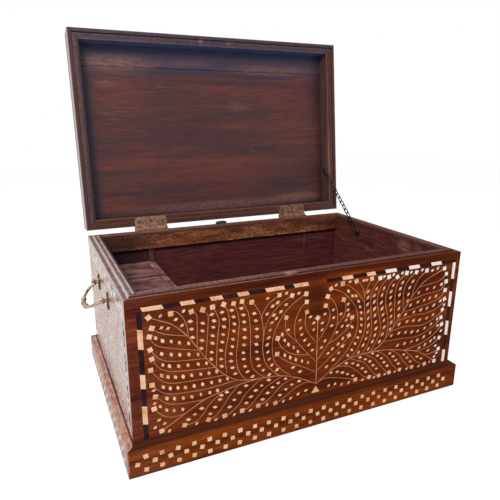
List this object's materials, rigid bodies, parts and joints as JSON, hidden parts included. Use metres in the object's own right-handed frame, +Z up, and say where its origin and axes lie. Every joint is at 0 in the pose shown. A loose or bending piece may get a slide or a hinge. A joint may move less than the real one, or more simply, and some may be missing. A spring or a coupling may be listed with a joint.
{
  "type": "bone inlay box",
  "caption": "Sheesham wood chest on a plinth, with a hinged lid held open by a stay chain, a small lidded till inside and a brass bail handle on each end.",
  "frame": {"origin": "centre of the box's flat underside, at floor level", "axes": "+Z up, -Y out of the front, +X to the right when facing the front; the lid stands open towards +Y"},
  "size_m": [0.69, 0.5101, 0.6747],
  "materials": {
    "sheesham": "oiled, worn",
    "plinth_sheesham": "oiled, worn",
    "dark_sheesham": "oiled, dry",
    "worn_sheesham": "bare, worn",
    "lining_wood": "bare, worn",
    "aged_brass": "tarnished",
    "pale_brass": "rubbed",
    "dark_iron": "dark, rubbed"
  },
  "bodies": {
    "carcass": {"front_board": "sheesham", "back_board": "sheesham", "left_board": "sheesham", "right_board": "sheesham", "bottom_board": "sheesham", "plinth_front": "plinth_sheesham", "plinth_back": "plinth_sheesham", "plinth_left": "plinth_sheesham", "plinth_right": "plinth_sheesham", "back_lining_rail": "lining_wood", "till_wall": "worn_sheesham", "till_floor": "worn_sheesham", "till_fixed_top": "worn_sheesham", "till_cleat": "worn_sheesham", "left_hinge_box_leaf": "aged_brass", "left_hinge_pin": "aged_brass", "right_hinge_box_leaf": "aged_brass", "right_hinge_pin": "aged_brass", "left_hinge_box_screw_1": "dark_iron", "left_hinge_box_screw_2": "dark_iron", "left_hinge_box_screw_3": "dark_iron", "right_hinge_box_screw_1": "dark_iron", "right_hinge_box_screw_2": "dark_iron", "right_hinge_box_screw_3": "dark_iron", "left_handle_front_plate": "pale_brass", "left_handle_back_plate": "pale_brass", "right_handle_front_plate": "pale_brass", "right_handle_back_plate": "pale_brass", "centre_hinge_stub": "dark_iron", "chain_box_nail": "dark_iron"},
    "lid": {"lid_front_rail": "dark_sheesham", "lid_back_rail": "dark_sheesham", "lid_left_rail": "dark_sheesham", "lid_right_rail": "dark_sheesham", "lid_narrow_plank": "dark_sheesham", "lid_wide_plank": "dark_sheesham", "left_hinge_lid_leaf": "aged_brass", "right_hinge_lid_leaf": "aged_brass", "left_hinge_lid_screw_1": "dark_iron", "left_hinge_lid_screw_2": "dark_iron", "left_hinge_lid_screw_3": "dark_iron", "right_hinge_lid_screw_1": "dark_iron", "right_hinge_lid_screw_2": "dark_iron", "right_hinge_lid_screw_3": "dark_iron", "chain_lid_nail": "dark_iron"},
    "till_lid": {"till_lid": "worn_sheesham"},
    "left_bail": {"left_handle_bail": "pale_brass"},
    "right_bail": {"right_handle_bail": "pale_brass"},
    "chain_lower": {"chain_lower_run": "dark_iron"},
    "chain_upper": {"chain_upper_run": "dark_iron"}
  },
  "joints": [
    {"name": "lid_hinge", "type": "hinge", "parent": "carcass", "child": "lid", "pos_m": [0, 0.2045, 0.2751], "axis": [1, 0, 0], "range_deg": [0, 97], "deforming": ["chain_lower_run", "chain_upper_run"]},
    {"name": "till_lid_hinge", "type": "hinge", "parent": "carcass", "child": "till_lid", "pos_m": [-0.2774, -0.172, 0.2055], "axis": [0, -1, 0], "range_deg": [0, 90]},
    {"name": "left_bail_swing", "type": "hinge", "parent": "carcass", "child": "left_bail", "pos_m": [-0.3145, 0.01, 0.218], "axis": [0, 1, 0], "range_deg": [-54, 130]},
    {"name": "right_bail_swing", "type": "hinge", "parent": "carcass", "child": "right_bail", "pos_m": [0.3145, 0.01, 0.218], "axis": [0, -1, 0], "range_deg": [-54, 130]},
    {"name": "chain_lower_swing", "type": "hinge", "parent": "carcass", "child": "chain_lower", "pos_m": [0.275, 0.0735, 0.252], "axis": [1, 0, 0], "range_deg": [-61, 0]},
    {"name": "chain_upper_swing", "type": "hinge", "parent": "lid", "child": "chain_upper", "pos_m": [0.275, 0.22264, 0.38017], "axis": [1, 0, 0], "range_deg": [0, 2]}
  ],
  "couplings": [
    {"joint": "chain_lower_swing", "follows": "lid_hinge", "ratio": -0.62038},
    {"joint": "chain_upper_swing", "follows": "lid_hinge", "ratio": 0.012947}
  ]
}
